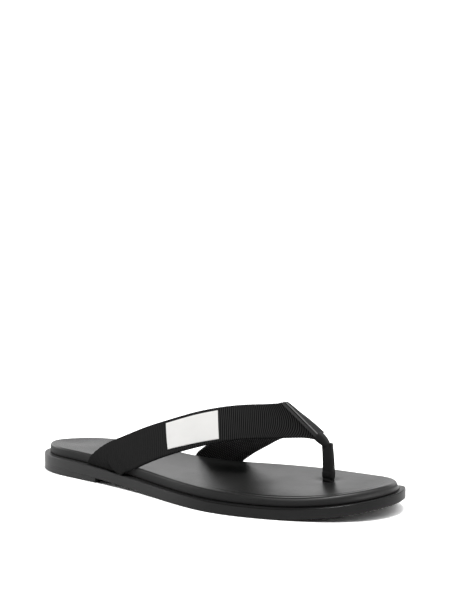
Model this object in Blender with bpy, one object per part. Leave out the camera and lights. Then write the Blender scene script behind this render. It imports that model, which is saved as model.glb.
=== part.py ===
"""Thong sandal for the right foot, at its real size.

The sizes below are in millimetres, measured from the back of the heel: X runs
to the toe, Y to the inner (medial) side of the foot and Z up from the floor.
The model itself is in metres, with its origin on the floor under the middle of
the sole's outline.
"""

import math
from collections import namedtuple

import bmesh
import bpy
import numpy as np
from mathutils import Vector

# ------------------------------------------------------------ driving sizes, mm
LENGTH = 290.0            # heel to toe
GAP = 0.3                 # between pieces that meet

OUTSOLE_HEEL = 7.6        # outsole thickness, back half
OUTSOLE_TOE = 6.5         # outsole thickness at the toe
THINNING_START = 100.0    # where the outsole starts to thin
HEEL_RISE = 4.4           # height of the outsole's underside at the heel
SHANK_BACK = 37.0         # the underside runs down from here ...
SHANK_FRONT = 154.0       # ... to the floor here
SPRING_START = 214.0      # the toe starts to lift here
TOE_SPRING = 8.3          # height of the underside at the toe
SPRING_POWER = 2.5
SOLE_ROUND = 0.8          # rounding of the outsole's edges
HEEL_BREAST = 75.5        # front face of the heel lift
LIFT_INSET = 0.15         # the lift stands this far inside the outsole's side
LIFT_SPARE = 5.0          # length of the lift past the breast, cut away again

HEEL_DISH = 2.2           # how far the footbed sinks between its rims
TOE_DISH = 1.2
DISH_BACK = 60.0          # the heel's depth runs from here ...
DISH_FRONT = 180.0        # ... to the toe's depth here
SOLE_HALF_WIDTH = 40.0    # over which the rims' heights blend from side to side
STRAP_WALL = 2.0          # webbing thickness
SEAM_ROWS = 0.6           # the two straps are joined over this part of their last row
LABEL_WALL = 0.5

POST_X = 231.8
POST_Y = 22.3
POST_TOP = 36.6
POST_CORNER = 0.3         # share of the post's half length and width that is rounded off

# The sole's outline seen from above: half widths on each side of the heel's axis.
Outline = namedtuple("Outline", "x lateral medial")
OUTLINE = (
    Outline(18, -23.4, 27.2),
    Outline(50, -31.4, 33.2),
    Outline(95, -36.4, 30.3),
    Outline(140, -45.7, 32.7),
    Outline(185, -55.4, 49.1),
    Outline(225, -49.9, 55.5),
    Outline(258, -36.0, 50.5),
    Outline(276, -22.5, 40.5),
    Outline(286, -8.5, 26.0),
)
TOE_TIP_Y = 10.0

# Height of the footbed's edge above the outsole: heel seat, arch and forefoot.
Rim = namedtuple("Rim", "x lateral medial")
RIM = (
    Rim(0, 6.8, 6.3),
    Rim(60, 6.8, 7.6),
    Rim(130, 6.1, 7.8),
    Rim(200, 5.5, 7.1),
    Rim(250, 4.4, 7.0),
    Rim(290, 6.4, 5.0),
)

# Side of the footbed, from its tucked-in underside up and over its padded edge:
# inset from the outsole's outline, share of the rim's height, and a fixed height.
Side = namedtuple("Side", "inset share lift")
FOOTBED_SIDE = (
    Side(7.0, 0.0, 0.3),
    Side(5.4, 0.0, 0.9),
    Side(4.6, 0.0, 2.1),
    Side(4.5, 0.6, 0.0),
    Side(4.7, 1.0, -1.3),
    Side(5.2, 1.0, -0.4),
    Side(6.2, 1.0, 0.0),
)

# Rings of the footbed's upper face: how far each lies in from the rim to the middle.
DISH_SHARES = (0.12, 0.3, 0.55, 0.8)

# The straps' outer faces. A row is one line across the strap, from its rear edge
# (nearer the heel) to its front edge, and crown is how far it bows out between.
Across = namedtuple("Across", "rear front crown")
LATERAL = (
    Across((64.9, -31.8, 11.9), (103.5, -36.9, 9.8), 0.0),
    Across((69.8, -31.9, 18.6), (104.5, -37.2, 10.8), 0.1),
    Across((77.8, -26.5, 26.5), (107.5, -37.4, 12.8), 0.5),
    Across((87.2, -19.7, 32.0), (113.2, -36.5, 15.8), 0.9),
    Across((103.9, -13.0, 39.8), (121.9, -29.6, 20.7), 1.0),
    Across((122.5, -8.3, 46.6), (136.1, -22.7, 26.7), 0.9),
    Across((142.8, -0.6, 53.2), (154.9, -13.0, 33.0), 0.7),
    Across((166.5, 8.0, 57.8), (175.2, -2.5, 37.5), 0.5),
    Across((184.3, 12.6, 59.6), (201.0, 9.0, 39.7), 0.3),
    Across((193.5, 14.2, 60.9), (217.0, 16.9, 40.4), 0.1),
    Across((200.5, 15.6, 61.7), (227.6, 20.0, 38.2), 0.0),
)
MEDIAL = (
    Across((114.7, 29.2, 9.3), (151.5, 34.4, 7.9), 0.0),
    Across((117.4, 29.2, 16.0), (152.0, 35.2, 10.5), 0.1),
    Across((124.1, 27.2, 21.4), (153.5, 36.6, 14.5), 0.4),
    Across((132.0, 24.5, 26.8), (158.0, 37.4, 18.6), 0.6),
    Across((140.5, 22.2, 35.3), (165.0, 37.8, 23.4), 0.6),
    Across((157.0, 20.9, 46.5), (175.0, 36.8, 28.9), 0.5),
    Across((174.0, 20.0, 54.2), (187.0, 34.3, 35.0), 0.4),
    Across((189.0, 19.6, 59.0), (203.0, 30.0, 40.0), 0.2),
    Across((195.8, 18.9, 61.3), (217.0, 23.9, 40.6), 0.1),
    Across((200.5, 18.8, 61.7), (227.6, 23.2, 38.2), 0.0),
)

# The leather binding folded over the ridge. Its cross-section from the outer side's
# lower edge over the top to the inner side's, then back underneath: distance across
# in half widths of the side it is on, and height over the ridge.
Leaf = namedtuple("Leaf", "across height")
BINDING_OUTSIDE = (
    Leaf(-1.0, -0.8), Leaf(-1.0, 0.9), Leaf(-0.84, 1.4), Leaf(-0.5, 1.6), Leaf(0.0, 1.6),
    Leaf(0.5, 1.6), Leaf(0.84, 1.4), Leaf(1.0, 0.9), Leaf(1.0, -0.8),
)
BINDING_CAVITY = 2.4      # half width of the space inside it
BINDING_CUT = 1.15        # slope of its rear end, which is cut level with the webbing's edge
# Stations from the rear end, past the ridge's front end and down to the toe post:
# half width on the outer and inner side, and how far the inner side's top is raised.
Station = namedtuple("Station", "x z outer inner raised")
BINDING_RUN = (
    Station(199.6, 62.5, 2.9, 2.9, 0.0),
    Station(204.0, 58.7, 2.9, 3.0, 0.7),
    Station(209.0, 54.4, 2.9, 3.2, 1.2),
    Station(214.0, 50.1, 3.0, 3.6, 2.0),
    Station(219.0, 45.7, 3.0, 4.1, 2.5),
    Station(224.2, 41.2, 3.0, 4.3, 2.8),
    Station(225.0, 40.5, 2.9, 3.3, 1.8),
    Station(229.1, 37.9, 2.9, 2.9, 0.5),
)

# The label on the lateral strap: its two ends as a place along the strap's rows and
# the shares of the strap's width between which it lies there.
End = namedtuple("End", "row rear front")
LABEL_ENDS = (
    End(4.84, 0.11, 0.885),
    End(6.49, 0.1, 0.945),
)

# Toe post: height, half length fore and aft, half width across.
Post = namedtuple("Post", "z length width")
POST = (
    Post(8.6, 3.6, 2.4), Post(13.0, 3.6, 2.4), Post(18.0, 3.4, 2.3),
    Post(26.0, 3.2, 2.2), Post(POST_TOP, 3.1, 2.1),
)

# ------------------------------------------------------------------ resolution
STATIONS = 38             # cross-stations along the sole
STRAP_STEPS = 3           # steps between two rows of a strap
STRAP_SHARES = 5          # steps across a strap
LABEL_STEPS = (6, 4)      # steps along and across the label
END_STATION = 5           # heel and toe fan out from this station's middle

MATERIALS = {
    "rubber": ((0.030, 0.030, 0.031), 0.55),
    "footbed_leather": ((0.045, 0.044, 0.045), 0.42),
    "webbing": ((0.012, 0.012, 0.012), 0.85),
    "binding_leather": ((0.022, 0.022, 0.023), 0.40),
    "label_cloth": ((0.86, 0.85, 0.82), 0.75),
}


# ----------------------------------------------------------------- small tools
def spline(knots, values, at):
    """Natural cubic spline through values at knots, read at the places in at."""
    knots = np.asarray(knots, float)
    values = np.asarray(values, float)
    step = np.diff(knots)
    slope = np.diff(values, axis=0) / (step[:, None] if values.ndim > 1 else step)
    count = len(knots)
    matrix = np.eye(count)
    right = np.zeros_like(values)
    for i in range(1, count - 1):
        matrix[i, i - 1:i + 2] = (step[i - 1], 2 * (step[i - 1] + step[i]), step[i])
        right[i] = 6 * (slope[i] - slope[i - 1])
    bend = np.linalg.solve(matrix, right)
    at = np.asarray(at, float)
    i = np.clip(np.searchsorted(knots, at) - 1, 0, count - 2)
    left = at - knots[i]
    rest = knots[i + 1] - at
    h = step[i]
    if values.ndim > 1:
        left, rest, h = left[:, None], rest[:, None], h[:, None]
    return (bend[i] * rest ** 3 + bend[i + 1] * left ** 3) / (6 * h) \
        + (values[i] / h - bend[i] * h / 6) * rest \
        + (values[i + 1] / h - bend[i + 1] * h / 6) * left


def closed_outline(samples=1600):
    """The sole's outline as a dense closed curve, heel, lateral side, toe, medial side."""
    points = [(0.0, 0.0)]
    points += [(row.x, row.lateral) for row in OUTLINE]
    points += [(LENGTH, TOE_TIP_Y)]
    points += [(row.x, row.medial) for row in reversed(OUTLINE)]
    loop = np.array(points * 3 + points[:1])
    chord = np.hypot(*np.diff(loop, axis=0).T)
    knots = np.concatenate(([0.0], np.cumsum(np.sqrt(chord))))
    first, last = knots[len(points)], knots[2 * len(points)]
    return spline(knots, loop, np.linspace(first, last, samples, endpoint=False))


OUTLINE_CURVE = closed_outline()


def ring(inset):
    """Points of the outline moved inwards, the same stations on both sides.

    The list starts at the heel, runs along the lateral side to the toe and comes
    back along the medial side, so that point i faces point -i.
    """
    along = np.roll(OUTLINE_CURVE, -1, axis=0) - np.roll(OUTLINE_CURVE, 1, axis=0)
    along /= np.hypot(along[:, 0], along[:, 1])[:, None]
    curve = OUTLINE_CURVE + inset * np.stack((-along[:, 1], along[:, 0]), axis=1)
    heel, toe = curve[:, 0].argmin(), curve[:, 0].argmax()
    curve, toe = np.roll(curve, -heel, axis=0), (toe - heel) % len(curve)
    lateral = curve[:toe + 1]
    medial = np.vstack((curve[toe:], curve[:1]))[::-1]
    share = 0.5 - 0.5 * np.cos(np.pi * np.arange(STATIONS + 1) / STATIONS)
    x = lateral[0, 0] + (lateral[-1, 0] - lateral[0, 0]) * share
    out = [(s, float(np.interp(s, *lateral.T))) for s in x]
    back = [(s, float(np.interp(s, *medial.T))) for s in x[-2:0:-1]]
    return out + back


def towards_middle(points, share):
    """The ring's points moved a share of the way to the sole's middle line."""
    near, far = END_STATION, STATIONS - END_STATION
    moved = []
    for i, (x, y) in enumerate(points):
        if x < points[near][0]:
            target = (points[near][0], (points[near][1] + points[-near][1]) / 2)
        elif x > points[far][0]:
            target = (points[far][0], (points[far][1] + points[-far][1]) / 2)
        else:
            target = (x, (y + points[-i][1]) / 2)
        moved.append((x + (target[0] - x) * share, y + (target[1] - y) * share))
    return moved


def underside(x):
    """Height of the outsole's underside over the floor."""
    back = min(max((SHANK_FRONT - x) / (SHANK_FRONT - SHANK_BACK), 0.0), 1.0)
    front = max((x - SPRING_START) / (LENGTH - SPRING_START), 0.0)
    return HEEL_RISE * back * back * (3 - 2 * back) + TOE_SPRING * front ** SPRING_POWER


def outsole_top(x):
    """Height of the outsole's upper face."""
    thinning = min(max((x - THINNING_START) / (LENGTH - THINNING_START), 0.0), 1.0)
    return underside(x) + OUTSOLE_HEEL + (OUTSOLE_TOE - OUTSOLE_HEEL) * thinning


def rim_height(x, y):
    """Height of the footbed's edge over the outsole, blended from side to side."""
    knots = [row.x for row in RIM]
    lateral, medial = spline(knots, [row[1:] for row in RIM], [x])[0]
    side = min(max((y / SOLE_HALF_WIDTH + 1) / 2, 0.0), 1.0)
    return lateral + (medial - lateral) * side


def dish(x):
    """Depth of the footbed between its rims."""
    share = min(max((x - DISH_BACK) / (DISH_FRONT - DISH_BACK), 0.0), 1.0)
    return HEEL_DISH + (TOE_DISH - HEEL_DISH) * share * share * (3 - 2 * share)


# ------------------------------------------------------------------- mesh tools
OUTLINE_MIDDLE = (OUTLINE_CURVE.min(axis=0) + OUTLINE_CURVE.max(axis=0)) / 2


def metres(point):
    """Millimetres from the heel to the model's own metres."""
    x, y, z = point
    return Vector(((x - OUTLINE_MIDDLE[0]) / 1000, (y - OUTLINE_MIDDLE[1]) / 1000, z / 1000))


def material(name):
    found = bpy.data.materials.get(name)
    if found:
        return found
    colour, roughness = MATERIALS[name]
    made = bpy.data.materials.new(name)
    made.use_nodes = True
    shader = made.node_tree.nodes["Principled BSDF"]
    shader.inputs["Base Color"].default_value = (*colour, 1.0)
    shader.inputs["Roughness"].default_value = roughness
    shader.inputs["Metallic"].default_value = 0.0
    return made


def add_object(name, bm, slot, collection):
    """Turn a bmesh in millimetres into a smooth-shaded object in metres."""
    for vert in bm.verts:
        vert.co = metres(vert.co)
    bmesh.ops.recalc_face_normals(bm, faces=bm.faces)
    if bm.calc_volume(signed=True) < 0:
        bmesh.ops.reverse_faces(bm, faces=bm.faces)
    mesh = bpy.data.meshes.new(name)
    bm.to_mesh(mesh)
    bm.free()
    if slot:
        mesh.materials.append(material(slot))
    mesh.shade_smooth()
    mesh.set_sharp_from_angle(angle=math.radians(40))
    made = bpy.data.objects.new(name, mesh)
    collection.objects.link(made)
    return made


def join_rings(bm, lower, upper):
    """Wall between two closed rings of vertices."""
    count = len(lower)
    for i in range(count):
        j = (i + 1) % count
        bm.faces.new((lower[i], lower[j], upper[j], upper[i]))


def cap_sole(bm, verts):
    """Close a sole-shaped ring with faces from each lateral point to its medial one."""
    count = len(verts)
    half = count // 2
    bm.faces.new((verts[0], verts[1], verts[-1]))
    for i in range(1, half - 1):
        bm.faces.new((verts[i], verts[i + 1], verts[-i - 1], verts[-i]))
    bm.faces.new((verts[half - 1], verts[half], verts[half + 1]))


def sole_solid(name, rings, slot, collection):
    """A closed solid from rings that run from its underside up to its upper face."""
    bm = bmesh.new()
    layers = [[bm.verts.new(point) for point in points] for points in rings]
    for lower, upper in zip(layers, layers[1:]):
        join_rings(bm, lower, upper)
    cap_sole(bm, layers[0])
    cap_sole(bm, layers[-1])
    return add_object(name, bm, slot, collection)


def tube_solid(name, rings, slot, collection):
    """A closed solid from a run of closed cross-sections, with flat ends."""
    bm = bmesh.new()
    layers = [[bm.verts.new(point) for point in points] for points in rings]
    for lower, upper in zip(layers, layers[1:]):
        join_rings(bm, lower, upper)
    bm.faces.new(layers[0])
    bm.faces.new(layers[-1])
    return add_object(name, bm, slot, collection)


def box_cutter(name, low, high, collection):
    """A box between two corners, kept out of the render."""
    bm = bmesh.new()
    bmesh.ops.create_cube(bm, size=1.0)
    for vert in bm.verts:
        vert.co = [lo + (hi - lo) * (c + 0.5) for lo, hi, c in zip(low, high, vert.co)]
    made = add_object(name, bm, None, collection)
    made.hide_render = True
    made.display_type = "WIRE"
    return made


def cut(target, cutter):
    boolean = target.modifiers.new("Cut", "BOOLEAN")
    boolean.operation = "DIFFERENCE"
    boolean.object = cutter


# ------------------------------------------------------------------- the pieces
def build_outsole(parts):
    edge, inner = ring(0.0), ring(SOLE_ROUND)
    middle = towards_middle(inner, 0.5)
    rings = [
        [(x, y, underside(x)) for x, y in middle],
        [(x, y, underside(x)) for x, y in inner],
        [(x, y, underside(x) + SOLE_ROUND) for x, y in edge],
        [(x, y, outsole_top(x) - SOLE_ROUND / 2) for x, y in edge],
        [(x, y, outsole_top(x)) for x, y in ring(SOLE_ROUND / 2)],
        [(x, y, outsole_top(x)) for x, y in middle],
    ]
    return sole_solid("outsole", rings, "rubber", parts)


def build_heel_lift(parts, cutters):
    def top(x):
        return underside(min(x, HEEL_BREAST + LIFT_SPARE)) - GAP
    rings = [
        [(x, y, 0.0) for x, y in ring(LIFT_INSET + SOLE_ROUND)],
        [(x, y, SOLE_ROUND) for x, y in ring(LIFT_INSET)],
        [(x, y, top(x)) for x, y in ring(LIFT_INSET)],
        [(x, y, top(x)) for x, y in towards_middle(ring(LIFT_INSET), 0.5)],
    ]
    lift = sole_solid("heel_lift", rings, "rubber", parts)
    low = (HEEL_BREAST, -LENGTH / 2, -OUTSOLE_HEEL)
    high = (LENGTH * 2, LENGTH / 2, OUTSOLE_HEEL * 2)
    front = box_cutter("heel_breast_cutter", low, high, cutters)
    cut(lift, front)
    return lift


def footbed_surface(x, y, share):
    """Height of the footbed's upper face, share of the way in from its rim."""
    sunk = dish(x) * (1 - (1 - share) ** 2)
    return outsole_top(x) + rim_height(x, y) - sunk


def build_footbed(parts, cutters):
    rings = []
    for side in FOOTBED_SIDE:
        rings.append([
            (x, y, outsole_top(x) + side.share * rim_height(x, y) + side.lift)
            for x, y in ring(side.inset)
        ])
    rim = ring(FOOTBED_SIDE[-1].inset)
    for share in DISH_SHARES:
        rings.append([
            (x, y, footbed_surface(x, y, share)) for x, y in towards_middle(rim, share)
        ])
    footbed = sole_solid("footbed", rings, "footbed_leather", parts)
    foot = POST[0]
    low = (POST_X - foot.length - GAP, POST_Y - foot.width - GAP, foot.z - GAP)
    high = (POST_X + foot.length + GAP, POST_Y + foot.width + GAP, POST_TOP)
    cut(footbed, box_cutter("post_slot_cutter", low, high, cutters))
    return footbed


def strap_point(rows, place, share):
    """A point of a strap's outer face: place counts rows, share runs rear to front."""
    knots = range(len(rows))
    table = [(*row.rear, *row.front, row.crown) for row in rows]
    read = spline(knots, table, [place - 0.01, place, place + 0.01])
    rear, front = read[1][:3], read[1][3:6]
    flat = rear + (front - rear) * share
    ahead = (read[2] - read[0])[:6]
    along = ahead[:3] + (ahead[3:] - ahead[:3]) * share
    outward = np.cross(front - rear, along)
    outward /= np.linalg.norm(outward)
    if rows is MEDIAL:
        outward = -outward
    return flat + outward * read[1][6] * 4 * share * (1 - share), outward


def strap_faces(rows):
    """Grids of points of one strap: its outer face and its inner face.

    The inner face stops SEAM_ROWS short of the ridge, so that the two straps are
    joined from there to the ridge.
    """
    last = len(rows) - 1
    count = last * STRAP_STEPS
    shares = [i / STRAP_SHARES for i in range(STRAP_SHARES + 1)]
    outer, inner = [], []
    for step in range(count + 1):
        place = last * step / count
        outer.append([strap_point(rows, place, s)[0] for s in shares])
        place -= SEAM_ROWS * max(0.0, 1 - (last - place) / 2)
        line = []
        for s in shares:
            point, outward = strap_point(rows, place, s)
            line.append(point - outward * STRAP_WALL)
        inner.append(line)
    return outer, inner


def build_upper(parts):
    """Both straps as one body: outer faces, inner faces, seam and edges."""
    bm = bmesh.new()
    faces = [strap_faces(LATERAL), strap_faces(MEDIAL)]
    joined = [bm.verts.new((a + b) / 2) for a, b in zip(faces[0][1][-1], faces[1][1][-1])]
    ridge = []
    for outer, inner in faces:
        outer = [[bm.verts.new(p) for p in line] for line in outer]
        inner = [[bm.verts.new(p) for p in line] for line in inner[:-1]] + [joined]
        for grid in (outer, inner):
            for a, b in zip(grid, grid[1:]):
                for i in range(STRAP_SHARES):
                    bm.faces.new((a[i], a[i + 1], b[i + 1], b[i]))
        for side in (0, -1):
            for (a, b), (c, d) in zip(zip(outer, outer[1:]), zip(inner, inner[1:])):
                bm.faces.new((a[side], b[side], d[side], c[side]))
        for i in range(STRAP_SHARES):
            bm.faces.new((outer[0][i], outer[0][i + 1], inner[0][i + 1], inner[0][i]))
        ridge.append(outer[-1])
    for i in range(STRAP_SHARES):
        bm.faces.new((ridge[0][i], ridge[0][i + 1], ridge[1][i + 1], ridge[1][i]))
    for end in (0, -1):
        bm.faces.new((ridge[0][end], ridge[1][end], joined[end]))
    return add_object("upper", bm, "webbing", parts)


def build_binding(parts):
    """Leather folded over the ridge, a run of channel-shaped cross-sections."""
    rear, front = [
        (Vector(a) + Vector(b)) / 2 for a, b in zip(LATERAL[-1][:2], MEDIAL[-1][:2])
    ]
    heading = (front - rear).to_2d()
    across = Vector((-heading.y, heading.x, 0.0)).normalized()
    middles = []
    for station in BINDING_RUN:
        y = rear.y + (station.x - rear.x) * heading.y / heading.x
        middles.append(Vector((station.x, y, station.z)))
    up = (middles[-1] - middles[0]).cross(across).normalized()
    low = BINDING_OUTSIDE[0].height
    under = [(BINDING_CAVITY, low), (BINDING_CAVITY, GAP), (-BINDING_CAVITY, GAP)]
    under.append((-BINDING_CAVITY, low))
    rings = []
    for middle, station in zip(middles, BINDING_RUN):
        section = []
        for leaf in BINDING_OUTSIDE:
            half = station.inner if leaf.across > 0 else station.outer
            lift = station.raised * max(0.0, leaf.across) if leaf.height > 0 else 0.0
            section.append((leaf.across * half, leaf.height + lift))
        rings.append([middle + across * a + up * h for a, h in section + under])
    along = (middles[1] - middles[0]).normalized()
    rings[0] = [
        point + along * BINDING_CUT * h for point, (a, h) in zip(rings[0], section + under)
    ]
    return tube_solid("ridge_binding", rings, "binding_leather", parts)


def build_post(parts):
    """The upright between the toes, a bar with its corners cut off."""
    rings = []
    for row in POST:
        points = []
        for sx, sy in ((1, 1), (-1, 1), (-1, -1), (1, -1)):
            first = (row.length, row.width * (1 - POST_CORNER))
            second = (row.length * (1 - POST_CORNER), row.width)
            pair = (first, second) if sx * sy > 0 else (second, first)
            points += [(POST_X + sx * a, POST_Y + sy * b, row.z) for a, b in pair]
        rings.append(points)
    return tube_solid("toe_post", rings, "binding_leather", parts)


def build_label(parts):
    """A thin rectangle of cloth that follows the lateral strap's outer face."""
    lines = np.linspace(*LABEL_ENDS, LABEL_STEPS[0] + 1)
    bm = bmesh.new()
    sheets = []
    for height in (GAP, GAP + LABEL_WALL):
        sheet = []
        for place, rear, front in lines:
            line = []
            for share in np.linspace(rear, front, LABEL_STEPS[1] + 1):
                point, outward = strap_point(LATERAL, place, share)
                line.append(bm.verts.new(point + outward * height))
            sheet.append(line)
        sheets.append(sheet)
    for sheet in sheets:
        for a, b in zip(sheet, sheet[1:]):
            for i in range(LABEL_STEPS[1]):
                bm.faces.new((a[i], a[i + 1], b[i + 1], b[i]))
    rims = []
    for sheet in sheets:
        rim = sheet[0] + [line[-1] for line in sheet[1:-1]] + sheet[-1][::-1]
        rims.append(rim + [line[0] for line in sheet[-2:0:-1]])
    join_rings(bm, *rims)
    return add_object("side_label", bm, "label_cloth", parts)


def main():
    for old in list(bpy.data.objects):
        bpy.data.objects.remove(old, do_unlink=True)
    parts = bpy.data.collections.new("thong_sandal")
    cutters = bpy.data.collections.new("cutters")
    for collection in (parts, cutters):
        bpy.context.scene.collection.children.link(collection)
    build_outsole(parts)
    build_heel_lift(parts, cutters)
    build_footbed(parts, cutters)
    build_upper(parts)
    build_binding(parts)
    build_post(parts)
    build_label(parts)


main()
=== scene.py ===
"""Looks of the thong sandal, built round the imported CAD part.

Sizes are in millimetres from the back of the heel (X to the toe, Y to the inner
side of the foot, Z up) and are turned into the row frame's metres in metres().
"""
import math
from collections import namedtuple

import bpy
import numpy as np
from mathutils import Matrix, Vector


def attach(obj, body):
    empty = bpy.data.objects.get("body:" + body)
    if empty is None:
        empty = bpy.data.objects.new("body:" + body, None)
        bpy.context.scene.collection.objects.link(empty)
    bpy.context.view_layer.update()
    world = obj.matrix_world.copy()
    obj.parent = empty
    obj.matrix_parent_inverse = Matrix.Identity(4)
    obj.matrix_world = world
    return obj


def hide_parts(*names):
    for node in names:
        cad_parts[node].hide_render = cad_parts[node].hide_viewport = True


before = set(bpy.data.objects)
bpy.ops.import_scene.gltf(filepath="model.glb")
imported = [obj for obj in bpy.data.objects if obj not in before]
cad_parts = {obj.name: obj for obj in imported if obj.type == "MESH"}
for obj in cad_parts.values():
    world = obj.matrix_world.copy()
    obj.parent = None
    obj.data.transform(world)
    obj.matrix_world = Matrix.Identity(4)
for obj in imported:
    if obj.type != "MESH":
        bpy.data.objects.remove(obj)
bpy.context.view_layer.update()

# ------------------------------------------------------------------ driving sizes
LENGTH = 290.0
OUTSOLE_HEEL = 7.6
OUTSOLE_TOE = 6.5
THINNING_START = 100.0
HEEL_RISE = 4.4
SHANK_BACK = 37.0
SHANK_FRONT = 154.0
SPRING_START = 214.0
TOE_SPRING = 8.3
SPRING_POWER = 2.5
HEEL_BREAST = 75.5
HEEL_DISH = 1.8
TOE_DISH = 1.3
DISH_BACK = 60.0
DISH_FRONT = 180.0
SOLE_HALF_WIDTH = 40.0
STRAP_WALL = 2.0
STATIONS = 160            # cross-stations along the sole
END_X = 12.2              # heel and toe fan out from this far in
UV_UNIT = 100.0           # millimetres to one unit of the sole's UVs

# The sole's outline: its outer (lateral) and inner (medial) edge.
Outline = namedtuple("Outline", "x lateral medial")
OUTLINE = (
    Outline(18, -23.4, 27.2),
    Outline(50, -31.4, 33.2),
    Outline(95, -36.4, 30.3),
    Outline(140, -45.7, 32.7),
    Outline(185, -55.4, 49.1),
    Outline(225, -49.9, 55.5),
    Outline(258, -36.0, 50.5),
    Outline(276, -22.5, 40.5),
    Outline(286, -8.5, 26.0),
)
TOE_TIP_Y = 10.0

# Height of the footbed's rim over the outsole, on both sides.
Rim = namedtuple("Rim", "x lateral medial")
RIM = (
    Rim(0, 6.8, 6.3),
    Rim(60, 6.8, 7.6),
    Rim(130, 6.9, 8.0),
    Rim(200, 6.0, 7.4),
    Rim(250, 5.5, 7.3),
    Rim(290, 6.9, 5.3),
)

# Side of the footbed: inset from the outline, share of the rim's height, fixed height.
Side = namedtuple("Side", "inset share lift")
FOOTBED_SIDE = (
    Side(7.0, 0.0, 0.05), Side(5.0, 0.0, 0.06), Side(4.5, 0.0, 0.12),
    Side(4.3, 0.0, 0.35), Side(4.3, 0.18, 0.25), Side(4.32, 0.33, 0.15),
    Side(4.4, 1.0, -1.7), Side(4.55, 1.0, -1.05), Side(4.8, 1.0, -0.6),
    Side(5.15, 1.0, -0.27), Side(5.6, 1.0, -0.07), Side(6.2, 1.0, 0.0),
)
BED_WALL = FOOTBED_SIDE[3].inset      # the side stands upright from this far in
BED_SHOULDER = FOOTBED_SIDE[6].inset  # and the rounding of its top starts this far in
# More rounding of its rim between two places: over how far it fades in and out, how
# deep it is and how wide.
Rounding = namedtuple("Rounding", "start end fade depth width")
ROUNDINGS = (
    Rounding(150, 400, 50, 0.45, 1.4), Rounding(262, 400, 20, 0.3, 3.0),
)

# Rows across the outer and the inner strap, from the sole up to the ridge: a point on
# the rear edge, one on the front edge, and how far the webbing bulges between them.
Across = namedtuple("Across", "rear front crown")
LATERAL = (
    Across((64.9, -31.8, 11.9), (103.5, -36.9, 9.8), 0.0),
    Across((69.8, -31.9, 18.6), (104.5, -37.2, 10.8), 0.1),
    Across((77.8, -26.5, 26.5), (107.5, -37.4, 12.8), 0.5),
    Across((87.2, -19.7, 32.0), (113.2, -36.5, 15.8), 0.9),
    Across((103.9, -13.0, 39.8), (121.9, -29.6, 20.7), 1.0),
    Across((122.5, -8.3, 46.6), (136.1, -22.7, 26.7), 0.9),
    Across((142.8, -0.6, 53.4), (154.9, -13.0, 33.0), 0.7),
    Across((166.5, 8.0, 58.3), (175.2, -2.5, 37.5), 0.5),
    Across((184.3, 12.6, 60.0), (201.0, 9.0, 39.7), 0.3),
    Across((193.5, 14.2, 60.9), (217.0, 16.9, 40.4), 0.1),
    Across((200.5, 15.6, 61.7), (227.6, 20.0, 38.2), 0.0),
)
MEDIAL = (
    Across((114.7, 29.2, 9.3), (151.5, 34.4, 7.9), 0.0),
    Across((117.4, 29.2, 16.0), (152.0, 35.2, 10.5), 0.1),
    Across((124.1, 27.2, 21.4), (153.5, 36.6, 14.5), 0.4),
    Across((132.0, 24.5, 26.8), (158.0, 37.4, 18.6), 0.6),
    Across((140.5, 22.2, 35.3), (165.0, 37.8, 23.4), 0.6),
    Across((157.0, 20.9, 46.5), (175.0, 36.8, 28.9), 0.5),
    Across((174.0, 20.0, 54.2), (187.0, 34.3, 35.0), 0.4),
    Across((189.0, 19.6, 59.0), (203.0, 30.0, 40.0), 0.2),
    Across((195.8, 18.9, 61.3), (217.0, 23.9, 40.6), 0.1),
    Across((200.5, 18.8, 61.7), (227.6, 23.2, 38.2), 0.0),
)
# Ribs of the webbing: one that starts at this place on the rear edge ends at that
# place on the front edge. Past the strap's two ends they are cut off.
Rib = namedtuple("Rib", "rear front")
LATERAL_RIBS = (
    Rib(-1.0, -4.0), Rib(1.2, -1.2), Rib(2.3, 0.0), Rib(3.0, 2.0), Rib(3.5, 3.0),
    Rib(4.0, 3.72), Rib(5.0, 4.9), Rib(6.0, 5.92), Rib(7.0, 6.95), Rib(7.5, 7.3),
    Rib(8.0, 7.57), Rib(9.0, 7.87), Rib(10.0, 8.14), Rib(11.0, 8.6), Rib(13.0, 10.0),
    Rib(14.0, 11.0),
)
MEDIAL_RIBS = (
    Rib(-1.0, -4.0), Rib(1.2, -2.0), Rib(3.0, 0.7), Rib(3.6, 2.4), Rib(4.2, 3.3),
    Rib(5.0, 4.5), Rib(6.0, 5.7), Rib(7.0, 6.5), Rib(8.0, 6.95), Rib(9.0, 7.3),
    Rib(10.0, 7.8), Rib(12.0, 9.0), Rib(13.0, 10.0),
)
# The fold near the outer strap's lower end: the share of the strap's width at which
# the crease runs, and how far the part in front of it stands out.
Fold = namedtuple("Fold", "row crease out")
FOLD = (
    Fold(0.0, 0.97, 1.4), Fold(0.5, 0.87, 1.7), Fold(0.9, 0.73, 1.7), Fold(1.14, 0.53, 1.3),
    Fold(1.5, 0.41, 0.9), Fold(1.9, 0.34, 0.3), Fold(2.6, 0.31, 0.0), Fold(10.0, 0.31, 0.0),
)
FOLD_WIDTH = 0.06         # share of the strap's width over which the fold rises
TUCK = 1.2                # how far the part behind the crease is drawn in at the bottom
TUCK_END = 1.4            # the row above which it is not drawn in any more
RIB_PITCH = 1.47
RIB_HEIGHT = 0.28
RIB_STEPS = 6             # lines of the grid to one rib
ACROSS_STEPS = 26         # steps of the grid across a strap
PLAIN_COUNT, RIBBED_COUNT = 22, 62    # the ribs show more and more between these two
INSIDE_COUNT = 1000       # added to the rib count on a strap's inner face
DOT_PITCH = 1.5           # the dots along the ribs of that inner face
NUDGE = 0.01              # part of a row, for the direction along a strap

# The label's lower and upper end: row of the strap, and shares of its width.
End = namedtuple("End", "row rear front")
LABEL_ENDS = (End(4.84, 0.11, 0.885), End(6.49, 0.1, 0.945))

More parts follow.
